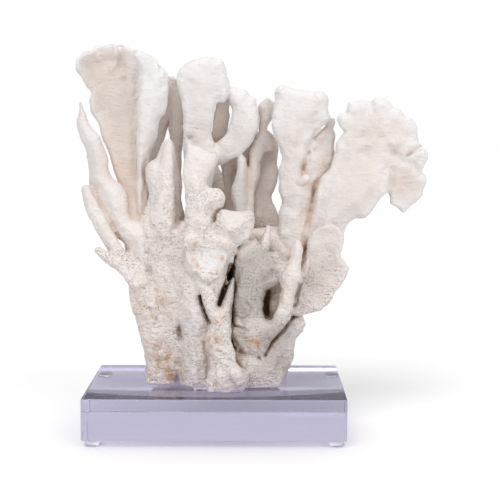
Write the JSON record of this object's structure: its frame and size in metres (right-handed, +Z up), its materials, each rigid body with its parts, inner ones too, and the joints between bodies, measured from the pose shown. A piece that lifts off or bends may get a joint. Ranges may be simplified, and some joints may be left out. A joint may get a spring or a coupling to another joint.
{
  "type": "coral on a display stand",
  "caption": "Bleached branching coral with broad thin fans, standing on a clear rectangular acrylic block with small clear feet.",
  "frame": {"origin": "middle of the whole object's outline seen from above, on the surface that the feet stand on", "axes": "+Z up, +X to the right as the picture sees it, +Y away from the viewer; the front of the stand faces -Y"},
  "size_m": [0.2208, 0.1039, 0.2439],
  "materials": {
    "coral": "matte",
    "clear_acrylic": "gloss",
    "clear_rubber": "gloss"
  },
  "bodies": {
    "root": {"clear_block": "clear_acrylic", "bumper_foot_front_left": "clear_rubber", "bumper_foot_front_right": "clear_rubber", "bumper_foot_back_left": "clear_rubber", "bumper_foot_back_right": "clear_rubber", "coral_trunk": "coral", "front_stem": "coral", "right_panel": "coral", "left_cone_blade": "coral", "left_edge_blade": "coral", "left_fan": "coral", "left_fingers": "coral", "right_centre_fan": "coral", "right_fan": "coral", "right_rear_blade": "coral", "right_cup": "coral", "right_arch": "coral", "front_blade": "coral", "front_knob": "coral", "centre_fan": "coral", "curled_leaf": "coral", "centre_slats": "coral", "rear_panel": "coral", "rear_crest": "coral", "rear_left_blade": "coral", "back_left_fan": "coral", "back_centre_fan": "coral", "back_right_fan": "coral"}
  },
  "joints": []
}
